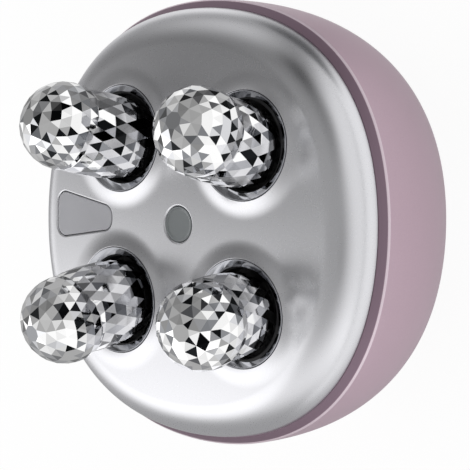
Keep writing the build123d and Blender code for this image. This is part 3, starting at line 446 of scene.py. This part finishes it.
def button_distance(x, y):
    """Distance outside the button's outline and the unit way outwards: the distance to
    the core's nearest side less the corner radius, negative inside the core."""
    core = button_core()
    nearest = np.full(x.shape, np.inf)
    way = np.zeros(x.shape + (2,))
    inside = np.ones(x.shape, bool)
    for start, end in zip(core, np.roll(core, -1, axis=0)):
        side = end - start
        from_start = np.stack([x - start[0], y - start[1]], -1)
        along = np.clip(from_start @ side / (side @ side), 0, 1)
        offset = from_start - along[..., None] * side
        gap = np.hypot(offset[..., 0], offset[..., 1])
        closer = gap < nearest
        nearest = np.where(closer, gap, nearest)
        way[closer] = offset[closer] / np.maximum(gap[closer], 1e-9)[:, None]
        inside &= side[0] * from_start[..., 1] > side[1] * from_start[..., 0]
    sign = np.where(inside, -1, 1)
    return sign * nearest - BUTTON_CORNER, way * sign[..., None]


def button_outline():
    """Points round the button's outline and their outward normals: an arc at each corner
    of the core, and a straight run to the next."""
    steps = BUTTON_ARC_STEPS
    core = button_core()
    sides = np.roll(core, -1, axis=0) - core
    facing = np.arctan2(-sides[:, 0], sides[:, 1])
    points, normals = [], []
    for spot, side, start, end in zip(core, sides, np.roll(facing, 1), facing):
        arc = start + np.linspace(0, 1, steps) * ((end - start) % (2 * np.pi))
        arc_normals = np.stack([np.cos(arc), np.sin(arc)], -1)
        run = np.linspace(0, 1, 2 * steps, endpoint=False)[1:, None]
        points += [np.broadcast_to(spot, arc_normals.shape), spot + run * side]
        normals += [arc_normals, np.broadcast_to(arc_normals[-1], (len(run), 2))]
    normals = np.concatenate(normals)
    return np.concatenate(points) + normals * BUTTON_CORNER, normals


def edge_strip(spot, ray, start, end, depth, rounding=EDGE_ROUND):
    """Strip of the face between two offsets along rays: it lies in the face from start
    nearly to end, rounds over there by a quarter circle and goes straight down to a depth.
    Gives its points, normals and quads."""
    share = np.linspace(0, 1, FLAT_ROWS)[:, None]
    bend = np.linspace(0, np.pi / 2, BEND_ROWS + 1)[1:, None]
    flat = start + (end + rounding - start) * share
    over = end + rounding * (1 - np.sin(bend))
    reach = np.concatenate([flat, over, over[-1:]])
    x = spot[..., 0] + ray[:, 0] * reach
    y = spot[..., 1] + ray[:, 1] * reach
    z = face_height(x, y)
    z[FLAT_ROWS:-1] -= rounding * (1 - np.cos(bend))
    z[-1] = depth
    lean = np.concatenate([0 * share, bend, bend[-1:]])[..., None]
    inwards = np.stack(np.broadcast_arrays(-ray[:, 0], -ray[:, 1], 0 * x), -1)
    normals = slope_normals(face_height, x, y) * np.cos(lean) + inwards * np.sin(lean)
    normals /= np.linalg.norm(normals, axis=-1, keepdims=True)
    points = np.stack([x, y, z], -1).reshape(-1, 3)
    return points, normals.reshape(-1, 3), grid_quads(*x.shape, wrap_columns=True)


def make_face():
    """Polar grid over crown and shoulder. Cells inside the head holes and the button
    window are left out, points beside them are drawn onto the exact outlines, and a
    rounded strip finishes each edge, the lens hole's too."""
    angle = np.linspace(0, 2 * np.pi, FACE_AROUND, endpoint=False)
    swing = np.linspace(0, np.pi / 2, SHOULDER_RINGS + 1)[1:, None]
    shoulder_start = plate_edge(angle) - SHOULDER_RUN
    lens_hole = LENS_RADIUS + LENS_GAP
    lens_edge = lens_hole + LENS_BORDER
    share = np.linspace(0, 1, FACE_RINGS)[:, None]
    rings = lens_edge + (shoulder_start - lens_edge) * share
    radius = np.concatenate([rings, shoulder_start + SHOULDER_RUN * np.sin(swing)])
    x = (radius * np.cos(angle)).ravel()
    y = (radius * np.sin(angle)).ravel()
    quads = grid_quads(*radius.shape, wrap_columns=True)[:, ::-1]

    keep = np.ones(len(quads), bool)
    hole_edge = collar_crest + HOLE_BORDER
    for spot in hole_centres.values():
        keep &= np.hypot(x - spot[0], y - spot[1])[quads].mean(1) > hole_edge
    distance, way = button_distance(x, y)
    window_edge = BUTTON_GAP + WINDOW_BORDER
    keep &= distance[quads].mean(1) > window_edge
    rim = np.zeros(len(x), bool)
    rim[np.intersect1d(quads[keep], quads[~keep])] = True
    for spot in hole_centres.values():
        offset = np.stack([x, y], -1) - spot
        away = np.linalg.norm(offset, axis=-1)
        near = rim & (away < hole_edge + BORDER_REACH)
        x[near], y[near] = (spot + offset[near] / away[near, None] * hole_edge).T
    near = rim & (distance < window_edge + BORDER_REACH)
    x[near] -= (distance[near] - window_edge) * way[near, 0]
    y[near] -= (distance[near] - window_edge) * way[near, 1]

    normals = slope_normals(plate_height, x, y)
    normals[-FACE_AROUND:] = np.stack([np.cos(angle), np.sin(angle), 0 * angle], -1)
    patches = [(np.stack([x, y, plate_height(x, y)], -1), normals, quads[keep])]
    turn = np.linspace(0, 2 * np.pi, STRIP_AROUND, endpoint=False)
    ray = np.stack([np.cos(turn), np.sin(turn)], -1)
    bezel_hole = bezel_outer + BEZEL_GAP
    for spot in hole_centres.values():
        patches.append(edge_strip(spot, ray, hole_edge, bezel_hole, rim_z - HOLE_DEPTH))
    depth = crown_z - HOLE_DEPTH
    patches.append(edge_strip(np.zeros(2), ray, lens_edge, lens_hole, depth, LENS_ROUND))
    depth = crown_z - WINDOW_DEPTH
    outline, outward = button_outline()
    patches.append(edge_strip(outline, outward, window_edge, BUTTON_GAP, depth, BUTTON_ROUND))
    starts = np.cumsum([0] + [len(patch[0]) for patch in patches[:-1]])
    return put_mesh(
        "face_shell",
        np.concatenate([patch[0] for patch in patches]),
        np.concatenate([patch[2] + start for patch, start in zip(patches, starts)]),
        np.concatenate([patch[1] for patch in patches]),
    )


def make_button():
    """Button cap: wall up its outline, rounded edge, then rings that shrink towards the
    middle under the crown's curve."""
    outline, outward = button_outline()
    middle = button_core().mean(0)
    bend = np.linspace(0, np.pi / 2, BEND_ROWS + 1)[:, None, None]
    over = outline - outward * EDGE_ROUND * (1 - np.cos(bend))
    shrink = np.linspace(1, 0, BUTTON_RINGS + 1)[1:, None, None]
    rings = np.concatenate([outline[None], over, middle + (over[-1] - middle) * shrink])
    height = crown_height(rings[..., 0], rings[..., 1]) - BUTTON_INSET
    height[1 : BEND_ROWS + 2] -= EDGE_ROUND * (1 - np.sin(bend[..., 0]))
    height[0] = button_foot_z + BUTTON_FLANGE
    points = np.concatenate([rings, height[..., None]], -1)
    quads = grid_quads(*height.shape, wrap_columns=True)
    piece = put_mesh("button_top", points.reshape(-1, 3), quads)
    merge_and_point_out(piece)
    return piece


def make_lens():
    """Lens: a profile with a shallow dish, a rim and a straight wall, turned round."""
    dish_inset, dish_depth, dish_round = LENS_DISH
    rim_width, rim_round = LENS_RIM
    profile = rounded_profile(
        [
            (0, lens_top_z - dish_depth, 0),
            (LENS_RADIUS - dish_inset, lens_top_z - dish_depth, dish_round),
            (LENS_RADIUS - rim_width, lens_top_z, rim_round),
            (LENS_RADIUS, lens_top_z, rim_round),
            (LENS_RADIUS, lens_top_z - LENS_WALL, 0),
        ]
    )
    return turned("lens_disc", profile, LENS_AROUND, closed=False)


def make_bezel(corner):
    """Bezel ring: rounded crest, slope down to the throat, barrel below, all leaning with
    the crown."""
    bore = bezel_outer - BEZEL_BORE
    throat = bezel_outer - BEZEL_THROAT
    step = bezel_outer - BEZEL_STEP
    crest_foot_z = rim_z - BEZEL_CREST[0]
    throat_foot_z = rim_z - BEZEL_THROAT_DEPTH
    profile = rounded_profile(
        [
            (bezel_outer, crest_foot_z, 0),
            (bezel_outer, rim_z, BEZEL_CREST[1]),
            (throat, rim_z - BEZEL_SLOPE[0], BEZEL_SLOPE[1]),
            (throat, throat_foot_z, 0),
            (bore, throat_foot_z, 0),
            (bore, bezel_bottom_z, 0),
            (step, bezel_bottom_z, 0),
            (step, crest_foot_z, 0),
        ]
    )
    spot = hole_centres[corner]
    return turned(f"bezel_{corner}", profile, BEZEL_AROUND, spot, spot / CROWN_RADIUS)


def ring_points(foot, lean, station, radius, count, turn):
    """Points evenly round a ring about an axis, at a station along it. The axis starts at
    its foot (x, z) and leans towards +X; the turn is in steps of the ring."""
    angle = 2 * np.pi * (np.arange(count) + turn) / count
    across = radius * np.cos(angle)
    return np.stack(
        [
            foot[0] + across * math.cos(lean) + station * math.sin(lean),
            radius * np.sin(angle),
            foot[1] - across * math.sin(lean) + station * math.cos(lean),
        ],
        axis=-1,
    )


def convex_shell(points):
    """Points and triangles of the convex hull."""
    mesh = bpy.data.meshes.new("hull")
    mesh.from_pydata(points.tolist(), [], [])
    shell = bmesh.new()
    shell.from_mesh(mesh)
    bmesh.ops.convex_hull(shell, input=shell.verts)
    shell.to_mesh(mesh)
    shell.free()
    spots = np.empty(3 * len(mesh.vertices))
    mesh.vertices.foreach_get("co", spots)
    triangles = np.empty(len(mesh.loops), int)
    mesh.loops.foreach_get("vertex_index", triangles)
    bpy.data.meshes.remove(mesh)
    return spots.reshape(-1, 3), triangles.reshape(-1, 3)


def make_head(corner):
    """Faceted head: a ball, a bent body and a neck, each the convex hull of its rings. The
    ball's rings lie on a sphere, a row angle apart, and thin out to the flat table at its
    tip. The body's radius falls with the square of the distance from its widest station.
    Every other ring is turned half a step, and flat triangles join them. They are cut a
    little finer than those of the solid it replaces."""
    foot = (BALL_OFFSET, rim_z + BALL_HEIGHT)
    ball = []
    for row in range(BALL_ROWS + 1):
        half_step = 0.5 * (row % 2)
        angle = TABLE_ANGLE + BALL_ROW_ANGLE * row
        count = min(FACETS_ROUND, TABLE_FACETS * max(1, row))
        radius = BALL_RADIUS * math.sin(angle)
        station = BALL_RADIUS * math.cos(angle)
        ball.append(ring_points(foot, BALL_LEAN, station, radius, count, half_step))
    foot = (BODY_FOOT[0], rim_z + BODY_FOOT[1])
    body = []
    for row, station in enumerate(np.linspace(*BODY_STATIONS, BODY_ROWS + 1)):
        half_step = 0.5 * (row % 2)
        radius = BODY_MID_RADIUS - BODY_BULGE * (station - BODY_MID_STATION) ** 2
        body.append(ring_points(foot, BODY_LEAN, station, radius, FACETS_ROUND, half_step))
    neck_low = box_mm(f"head_{corner}")[0][2]
    neck = [ring_points((0, z), 0, 0, NECK_RADIUS, NECK_AROUND, 0) for z in (neck_low, rim_z)]
    shells = [convex_shell(np.concatenate(rings)) for rings in (ball, body, neck)]
    starts = np.cumsum([0] + [len(spots) for spots, _ in shells[:-1]])
    spots = np.concatenate([spots for spots, _ in shells])
    way = math.radians(TIP_WAYS[corner])
    turn = np.array([[math.cos(way), math.sin(way)], [-math.sin(way), math.cos(way)]])
    spots[:, :2] = spots[:, :2] @ turn + hole_centres[corner]
    triangles = np.concatenate([part + start for (_, part), start in zip(shells, starts)])
    piece = put_mesh(f"facets_{corner}", spots, triangles, smooth=False)
    merge_and_point_out(piece)
    return piece


# ================================================================ materials
def linear(code):
    """Linear colour, with alpha, of an sRGB hex code."""
    parts = np.array([int(code[i : i + 2], 16) for i in (0, 2, 4)]) / 255
    parts = np.where(parts <= 0.04045, parts / 12.92, ((parts + 0.055) / 1.055) ** 2.4)
    return (*parts.tolist(), 1.0)


def add_node(tree, kind, inputs=None, **settings):
    """Adds a node, sets its own properties, and fills inputs with values or links."""
    node = tree.nodes.new(kind)
    for key, value in settings.items():
        setattr(node, key, value)
    for key, value in (inputs or {}).items():
        if isinstance(value, bpy.types.NodeSocket):
            tree.links.new(value, node.inputs[key])
        else:
            node.inputs[key].default_value = value
    return node


def find_node(tree, kind):
    """The tree's first node of a kind."""
    return next(node for node in tree.nodes if node.bl_idname == kind)


def finish_of(name, light, dark, grain_mm, roughness, bump_mm, **surface):
    """Material with one fine grain: noise of that size mixes its two colours, varies its
    roughness over a range and lifts its surface a little. What else is given goes to the
    surface's own sockets."""
    material = bpy.data.materials.new(name)
    material.use_nodes = True
    tree = material.node_tree
    tree.nodes.clear()
    place = add_node(tree, "ShaderNodeTexCoord")
    grain = add_node(
        tree,
        "ShaderNodeTexNoise",
        {"Vector": place.outputs["Object"], "Scale": 1 / (grain_mm * MM), "Detail": 3.0},
    )
    colour = add_node(
        tree,
        "ShaderNodeMix",
        {0: grain.outputs["Fac"], 6: linear(dark), 7: linear(light)},
        data_type="RGBA",
    )
    rough = add_node(
        tree,
        "ShaderNodeMapRange",
        {"Value": grain.outputs["Fac"], "To Min": roughness[0], "To Max": roughness[1]},
    )
    relief = add_node(
        tree,
        "ShaderNodeBump",
        {"Height": grain.outputs["Fac"], "Distance": bump_mm * MM, "Strength": 1.0},
    )
    shader = add_node(
        tree,
        "ShaderNodeBsdfPrincipled",
        {
            "Base Color": colour.outputs[2],
            "Roughness": rough.outputs[0],
            "Normal": relief.outputs[0],
            **surface,
        },
    )
    add_node(tree, "ShaderNodeOutputMaterial", {"Surface": shader.outputs[0]})
    return material


# Flakes, blasting and grinding marks of 0.02 to 0.1 mm are too fine to show, so where a
# comment says drawn coarse the grain has the size that shows; the others have their own.
metal = {"Metallic": 1.0}
finishes = {
    # ABS under a pearl lacquer: its mica flakes, drawn coarse, give a soft satin, and a
    # clear coat lies over them
    "pearl_pink_plastic": finish_of(
        "pearl_lacquered_abs_painted_lip_highlight", "BCA4B0", "B29AA7", 0.35, (0.36, 0.44), 0.001,
        **{"IOR": 1.45, "Coat Weight": 0.12, "Coat Roughness": 0.15, "Metallic": 0.5},
    ),
    # satin nickel-chrome plating over plastic: bright metal whose fine satin, drawn coarse,
    # makes reflections a little soft
    "plated_face": finish_of(
        "satin_chrome_plating", "E4E4E7", "DFDFE3", 0.25, (0.26, 0.30), 0.0002, **metal
    ),
    # mirror-bright plating on cut facets: crisp reflections in flat faces, with a trace of
    # the polishing ripple; painted reflections take the place of its colours further down
    "mirror_facets": finish_of(
        "mirror_chrome_painted_reflections", "EEEEF0", "E8E8EB", 0.5, (0.03, 0.05), 0.0001, **metal
    ),
    # polished plating on the turned ring: sharp dark and light bands, softened a little by
    # a polishing grain drawn coarse
    "bezel_chrome": finish_of(
        "polished_chrome_ring", "B0B1B6", "A6A7AC", 0.3, (0.10, 0.14), 0.0002, **metal
    ),
    # moulded nitrile rubber: matt and nearly black, mould grain drawn coarse
    "black_rubber": finish_of(
        "black_nitrile_rubber", "17171A", "101012", 0.2, (0.55, 0.7), 0.004, **{"IOR": 1.52}
    ),
    # satin silver lacquer on the moulded button: an even soft grey, its flakes drawn coarse
    "satin_grey_plastic": finish_of(
        "silver_lacquered_button", "B2B2B6", "AAAAAF", 0.2, (0.4, 0.5), 0.001,
        **{"Metallic": 0.3},
    ),
    # tinted acrylic lens: the blasted face, drawn coarse, gives a soft even grey
    "smoked_lens": finish_of(
        "smoked_acrylic", "828688", "7A7E7F", 0.2, (0.25, 0.33), 0.001, **{"IOR": 1.49}
    ),
    # ground steel shafts: bright, with the grinding grain drawn coarse
    "steel_shaft": finish_of(
        "ground_steel", "B9B9BB", "A8A8AB", 0.15, (0.18, 0.3), 0.0005, **metal
    ),
    # natural acetal, moulded: waxy off-white with a faint mottle
    "gear_plastic": finish_of(
        "natural_acetal", "E6E3D8", "DCD8CB", 0.4, (0.3, 0.42), 0.002, **{"IOR": 1.48}
    ),
    # sintered bronze: oily brown, finely pored
    "bronze_bush": finish_of(
        "sintered_bronze", "B8864C", "8E6636", 0.12, (0.3, 0.5), 0.004, **metal
    ),
    # glass-filled nylon: matt dark grey with a faint fibre mottle
    "frame_plastic": finish_of(
        "glass_filled_nylon", "3A3A3E", "2E2E32", 0.3, (0.45, 0.6), 0.006, **{"IOR": 1.53}
    ),
    # zinc-plated screws: pale bluish metal, its crystals drawn coarse
    "screw_steel": finish_of(
        "zinc_plated_steel", "BDBEC2", "A2A4A9", 0.2, (0.22, 0.36), 0.001, **metal
    ),
    # nickel-plated drawn can: warm pale metal with a faint mottle
    "motor_steel": finish_of(
        "nickel_plated_can", "C2C0BB", "B0AEA9", 0.4, (0.2, 0.32), 0.001, **metal
    ),
    # moulded black ABS: satin black, spark-eroded grain drawn coarse
    "black_plastic": finish_of(
        "moulded_black_abs", "1E1E20", "151517", 0.25, (0.35, 0.5), 0.003, **{"IOR": 1.53}
    ),
    # shrink film over the cell: smooth, slightly wrinkled
    "battery_wrap": finish_of(
        "pvc_shrink_film", "58687E", "4A586C", 1.5, (0.22, 0.34), 0.02, **{"IOR": 1.54}
    ),
    # solder mask over glass epoxy: glossy green with a slight orange peel
    "board_green": finish_of(
        "solder_mask", "2C6B45", "235A39", 0.5, (0.25, 0.35), 0.002, **{"IOR": 1.5}
    ),
    # cast clear epoxy of the indicator: clear and glossy
    "led_clear": finish_of(
        "clear_epoxy", "F2F2EC", "E6E6DE", 0.5, (0.05, 0.1), 0.0,
        **{"IOR": 1.53, "Transmission Weight": 0.8},
    ),
}


def tilt_facets_and_paint_reflections(material):
    """Leans every flat facet its own way, by ten degrees or so, and paints it one of a few
    shades from nearly black to white. Both are far more than cut facets differ: the shades
    are painted reflections, standing in for those of a room full of lights. The facet's own
    normal, snapped, picks both, and the lean goes under the grain."""
    tree = material.node_tree
    own = add_node(tree, "ShaderNodeNewGeometry")
    local = add_node(
        tree,
        "ShaderNodeVectorTransform",
        {0: own.outputs["True Normal"]},
        vector_type="NORMAL",
        convert_from="WORLD",
        convert_to="OBJECT",
    )
    snapped = add_node(
        tree,
        "ShaderNodeVectorMath",
        {0: local.outputs[0], 1: (FACET_SNAP, FACET_SNAP, FACET_SNAP)},
        operation="SNAP",
    )
    chance = add_node(
        tree,
        "ShaderNodeTexWhiteNoise",
        {"Vector": snapped.outputs[0], "W": FACET_SEED},
        noise_dimensions="4D",
    )
    lean = add_node(
        tree,
        "ShaderNodeVectorMath",
        {0: chance.outputs["Color"], 1: (0.5, 0.5, 0.5)},
        operation="SUBTRACT",
    )
    lean = add_node(
        tree, "ShaderNodeVectorMath", {0: lean.outputs[0], "Scale": FACET_LEAN}, operation="SCALE"
    )
    leaning = add_node(
        tree, "ShaderNodeVectorMath", {0: own.outputs["True Normal"], 1: lean.outputs[0]}
    )
    unit = add_node(tree, "ShaderNodeVectorMath", {0: leaning.outputs[0]}, operation="NORMALIZE")
    tree.links.new(unit.outputs[0], find_node(tree, "ShaderNodeBump").inputs["Normal"])
    # painted reflections: each facet's shade, nearly black to white, from its random draw
    painted_reflection = add_node(tree, "ShaderNodeValToRGB", {0: chance.outputs["Value"]})
    ramp = painted_reflection.color_ramp
    ramp.interpolation = "CONSTANT"
    for _ in FACET_PAINTED_REFLECTIONS[2:]:
        ramp.elements.new(0.5)
    for stop, (position, code) in zip(ramp.elements, FACET_PAINTED_REFLECTIONS):
        stop.position = position
        stop.color = linear(code)
    shader = find_node(tree, "ShaderNodeBsdfPrincipled")
    tree.links.new(painted_reflection.outputs[0], shader.inputs["Base Color"])


tilt_facets_and_paint_reflections(finishes["mirror_facets"])


def darken_band_and_paint_lip_highlight(material):
    """Makes the slanted front band, above the lip, a darker mauve, and paints a thin lighter
    line along the lip: a painted highlight, as if the rounded edge caught the light."""
    tree = material.node_tree
    place = add_node(tree, "ShaderNodeTexCoord")
    split = add_node(tree, "ShaderNodeSeparateXYZ", {0: place.outputs["Object"]})
    over = add_node(
        tree,
        "ShaderNodeMapRange",
        {
            "Value": split.outputs["Z"],
            "From Min": (lip_z + BAND_FADE[0]) * MM,
            "From Max": (lip_z + BAND_FADE[1]) * MM,
        },
    )
    shader = find_node(tree, "ShaderNodeBsdfPrincipled")
    # the slanted front band turns a darker mauve, fading in above the lip
    band_darkening = add_node(
        tree,
        "ShaderNodeMix",
        {
            0: over.outputs[0],
            6: shader.inputs["Base Color"].links[0].from_socket,
            7: linear(BAND_COLOUR),
        },
        data_type="RGBA",
    )
    # painted highlight: a thin lighter line along the lip
    lip = add_node(
        tree,
        "ShaderNodeMath",
        {0: split.outputs["Z"], 1: (lip_z + LIP_HIGHLIGHT_LINE[0]) * MM, 2: LIP_HIGHLIGHT_LINE[1] * MM},
        operation="COMPARE",
    )
    edge = add_node(
        tree,
        "ShaderNodeMix",
        {0: lip.outputs[0], 6: band_darkening.outputs[2], 7: linear(LIP_HIGHLIGHT_COLOUR)},
        data_type="RGBA",
    )
    tree.links.new(edge.outputs[2], shader.inputs["Base Color"])


darken_band_and_paint_lip_highlight(finishes["pearl_pink_plastic"])


def dress(piece, slot):
    """Gives a piece the finish of one of the record's material slots."""
    piece.data.materials.clear()
    piece.data.materials.append(finishes[slot])


# ================================================================ pieces
for part in frame["record"]["subparts"]:
    dress(frame["nodes"][part["node"]], part["material_slot"])

made = [
    (make_housing(), "body", ["housing"], "pearl_pink_plastic"),
    (make_face(), "body", ["face_plate"], "plated_face"),
    (make_lens(), "body", ["centre_lens"], "smoked_lens"),
    (make_button(), "button", ["button_cap"], "satin_grey_plastic"),
]
for corner in HEADS:
    made.append((make_bezel(corner), "body", [f"bezel_ring_{corner}"], "bezel_chrome"))
    made.append((make_head(corner), f"head_{corner}_drive", [f"head_{corner}"], "mirror_facets"))
for piece, body, nodes, slot in made:
    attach(piece, body)
    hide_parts(*nodes)
    dress(piece, slot)


# ================================================================ camera
def make_camera():
    """Camera that looks at its spot from a way turned to the side, raised and rolled."""
    way = Vector(
        (
            math.sin(CAMERA_SIDE) * math.cos(CAMERA_RISE),
            math.sin(CAMERA_RISE),
            math.cos(CAMERA_SIDE) * math.cos(CAMERA_RISE),
        )
    )
    level = Vector((0, 1, 0)).cross(way).normalized()
    upright = way.cross(level)
    right = level * math.cos(CAMERA_ROLL) + upright * math.sin(CAMERA_ROLL)
    up = upright * math.cos(CAMERA_ROLL) - level * math.sin(CAMERA_ROLL)
    place = Matrix.Translation(Vector(CAMERA_SPOT) * MM + way * (CAMERA_DISTANCE * MM))
    camera = bpy.data.objects.new("camera", bpy.data.cameras.new("camera"))
    camera.matrix_world = place @ Matrix((right, up, way)).transposed().to_4x4()
    camera.data.sensor_width = CAMERA_SENSOR
    camera.data.lens = CAMERA_LENS
    camera.data.shift_x, camera.data.shift_y = CAMERA_SHIFT
    camera.data.clip_start = CAMERA_CLIP * MM
    scene.collection.objects.link(camera)
    scene.camera = camera


make_camera()


# ================================================================ studio
def make_floor():
    """Pale floor under the flat back. For the camera it is mostly its own even white. In
    reflections it is dark, with the glow of sheets laid one over the other: each is an
    ellipse that fades out from a share of its size. The rest keeps the object's shadow."""
    corners = FLOOR_HALF * np.array([(-1, -1, 0), (1, -1, 0), (1, 1, 0), (-1, 1, 0)])
    floor = put_mesh("floor", corners, np.array([(0, 1, 2, 3)]))
    material = bpy.data.materials.new("white_paper")
    material.use_nodes = True
    tree = material.node_tree
    tree.nodes.clear()
    path = add_node(tree, "ShaderNodeLightPath")
    mirrored = add_node(
        tree,
        "ShaderNodeMath",
        {0: path.outputs["Is Glossy Ray"], 1: path.outputs["Is Transmission Ray"]},
        operation="ADD",
    )
    share = add_node(
        tree,
        "ShaderNodeMath",
        {0: path.outputs["Is Camera Ray"], 1: FLOOR_GLOW},
        operation="MULTIPLY",
    )
    place = add_node(tree, "ShaderNodeTexCoord")
    table = None
    for middle, halves, full, brightness in TABLE_SHEETS:
        offset = add_node(
            tree,
            "ShaderNodeVectorMath",
            {0: place.outputs["Object"], 1: (middle[0] * MM, middle[1] * MM, 0)},
            operation="SUBTRACT",
        )
        offset = add_node(
            tree,
            "ShaderNodeVectorMath",
            {0: offset.outputs[0], 1: (1 / (halves[0] * MM), 1 / (halves[1] * MM), 0)},
            operation="MULTIPLY",
        )
        away = add_node(tree, "ShaderNodeVectorMath", {0: offset.outputs[0]}, operation="LENGTH")
        cover = add_node(
            tree,
            "ShaderNodeMapRange",
            {"Value": away.outputs["Value"], "From Min": 1.0, "From Max": full},
            interpolation_type="SMOOTHSTEP",
        )
        table = add_node(
            tree,
            "ShaderNodeMix",
            {0: cover.outputs[0], 2: table.outputs[0] if table else TABLE_BASE, 3: brightness},
            data_type="FLOAT",
        )
    share = add_node(
        tree,
        "ShaderNodeMath",
        {0: mirrored.outputs[0], 1: table.outputs[0], 2: share.outputs[0]},
        operation="MULTIPLY_ADD",
    )
    tint = add_node(
        tree,
        "ShaderNodeMix",
        {0: mirrored.outputs[0], 6: linear(FLOOR_COLOUR), 7: linear(TABLE_COLOUR)},
        data_type="RGBA",
    )
    paper = add_node(
        tree, "ShaderNodeBsdfDiffuse", {"Color": tint.outputs[2], "Roughness": 0.0}
    )
    glow = add_node(tree, "ShaderNodeEmission", {"Color": linear("FFFFFF"), "Strength": 1.0})
    mixed = add_node(
        tree,
        "ShaderNodeMixShader",
        {0: share.outputs[0], 1: paper.outputs[0], 2: glow.outputs[0]},
    )
    add_node(tree, "ShaderNodeOutputMaterial", {"Surface": mixed.outputs[0]})
    floor.data.materials.append(material)
    return floor


make_floor()


def make_studio():
    """World light: an even grey, with soft light and dark cards mixed in one after the
    other; each fades out smoothly with the angle from its middle."""
    world = bpy.data.worlds.new("studio")
    scene.world = world
    world.use_nodes = True
    tree = world.node_tree
    tree.nodes.clear()
    place = add_node(tree, "ShaderNodeTexCoord")
    base = (STUDIO_BASE, STUDIO_BASE, STUDIO_BASE, 1.0)
    light = None
    for way, start, full, grey in STUDIO_CARDS:
        toward = add_node(
            tree,
            "ShaderNodeVectorMath",
            {0: place.outputs["Generated"], 1: Vector(way).normalized()},
            operation="DOT_PRODUCT",
        )
        angle = add_node(
            tree, "ShaderNodeMath", {0: toward.outputs["Value"]}, operation="ARCCOSINE"
        )
        cover = add_node(
            tree,
            "ShaderNodeMapRange",
            {
                "Value": angle.outputs[0],
                "From Min": math.radians(start),
                "From Max": math.radians(full),
            },
            interpolation_type="SMOOTHSTEP",
        )
        light = add_node(
            tree,
            "ShaderNodeMix",
            {
                0: cover.outputs[0],
                6: light.outputs[2] if light else base,
                7: (grey, grey, grey, 1.0),
            },
            data_type="RGBA",
        )
    glow = add_node(tree, "ShaderNodeBackground", {"Color": light.outputs[2], "Strength": 1.0})
    add_node(tree, "ShaderNodeOutputWorld", {"Surface": glow.outputs[0]})


make_studio()


def add_softbox(name, spot_mm, size_mm, watts):
    """Rectangular lamp that faces the middle of the object and that no metal mirrors."""
    lamp = bpy.data.lights.new(name, "AREA")
    lamp.shape = "RECTANGLE"
    lamp.size, lamp.size_y = size_mm[0] * MM, size_mm[1] * MM
    lamp.energy = watts
    holder = bpy.data.objects.new(name, lamp)
    holder.location = Vector(spot_mm) * MM
    holder.rotation_mode = "QUATERNION"
    aim = Vector(LAMP_AIM) * MM - holder.location
    holder.rotation_quaternion = aim.to_track_quat("-Z", "Y")
    holder.visible_glossy = False
    scene.collection.objects.link(holder)


for lamp_settings in LAMPS:
    add_softbox(*lamp_settings)

scene.view_settings.view_transform = "Standard"
